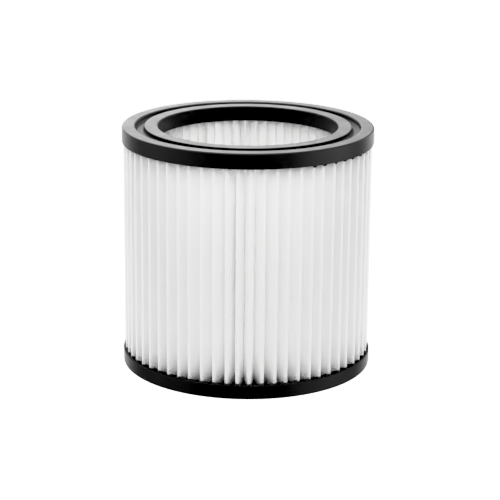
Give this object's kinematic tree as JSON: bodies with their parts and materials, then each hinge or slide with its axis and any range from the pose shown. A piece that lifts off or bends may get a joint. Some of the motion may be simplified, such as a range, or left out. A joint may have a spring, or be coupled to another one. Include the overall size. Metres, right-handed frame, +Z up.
{
  "type": "vacuum cleaner cartridge filter",
  "caption": "Round cartridge filter for a wet and dry vacuum cleaner: pleated white fleece sleeve between two black soft end rings, open through the middle, with a seal groove on top.",
  "frame": {"origin": "middle of the underside of the bottom end ring", "axes": "+Z up the axis of the sleeve, from the bottom end ring to the grooved top end ring"},
  "size_m": [0.14, 0.14, 0.136],
  "materials": {
    "cast_polyurethane": "satin cast skin",
    "filter_fleece": "white non-woven fleece"
  },
  "bodies": {
    "root": {"top_end_ring": "cast_polyurethane", "pleated_fleece": "filter_fleece", "bottom_end_ring": "cast_polyurethane"}
  },
  "joints": []
}
